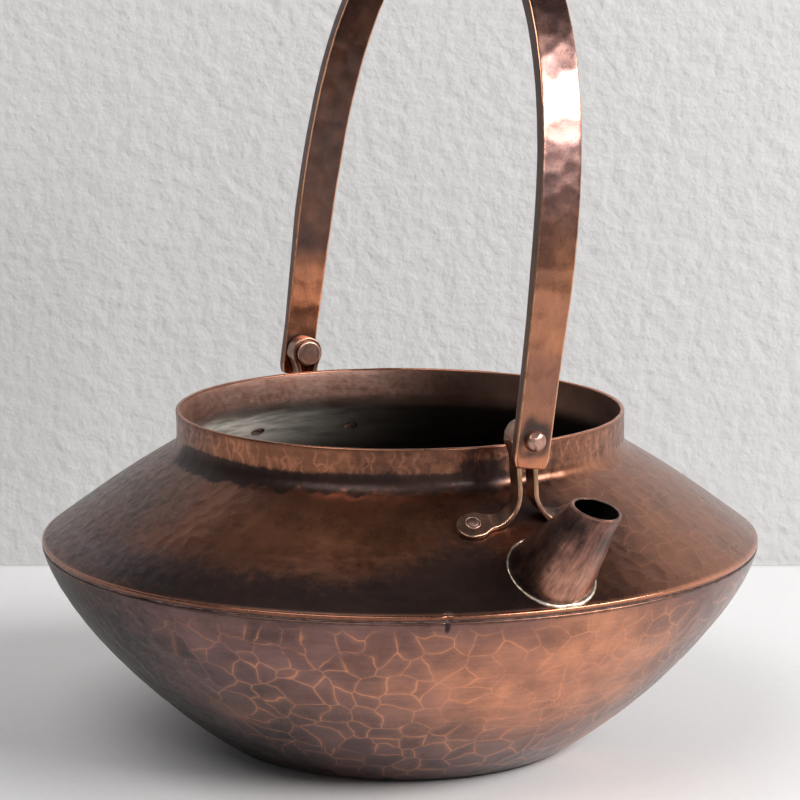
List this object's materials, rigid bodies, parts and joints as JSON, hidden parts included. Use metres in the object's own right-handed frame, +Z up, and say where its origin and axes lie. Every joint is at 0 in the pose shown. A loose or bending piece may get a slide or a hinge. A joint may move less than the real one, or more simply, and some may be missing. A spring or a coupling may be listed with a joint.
{
  "type": "watering can",
  "caption": "Low round hammered-copper watering can with an open neck, a short tapered spout on the shoulder and a swinging strap handle.",
  "frame": {"origin": "centre of the flat foot's underside, on the body's axis, at floor level", "axes": "+Z up along the body's axis; +X towards the spout, in the plane of the two handle pins; +Y completes the right-handed frame, and the handle leans a little towards it"},
  "size_m": [0.2218, 0.2, 0.2346],
  "materials": {
    "bowl_copper": "dark patinated copper with bright hammer marks",
    "shoulder_copper": "dark brown patinated copper, lightly hammered",
    "strap_copper": "satin brown copper with bright bevelled edges",
    "bracket_copper": "brown copper strip, rubbed bright on its edges",
    "rivet_copper": "hammered copper heads",
    "solder": "pale gold solder"
  },
  "bodies": {
    "can": {"lower_bowl": "bowl_copper", "upper_body": "shoulder_copper", "body_seam_solder": "solder", "spout": "shoulder_copper", "spout_solder": "solder", "front_bracket": "bracket_copper", "rear_bracket": "bracket_copper", "front_bracket_rivet_left": "rivet_copper", "front_bracket_rivet_right": "rivet_copper", "rear_bracket_rivet_left": "rivet_copper", "rear_bracket_rivet_right": "rivet_copper"},
    "handle": {"handle": "strap_copper", "front_pivot_pin": "rivet_copper", "rear_pivot_pin": "rivet_copper"}
  },
  "joints": [
    {"name": "handle_swing", "type": "hinge", "parent": "can", "child": "handle", "pos_m": [0, 0.0019, 0.098], "axis": [1, 0, 0], "range_deg": [-102.7, 117.3]}
  ]
}
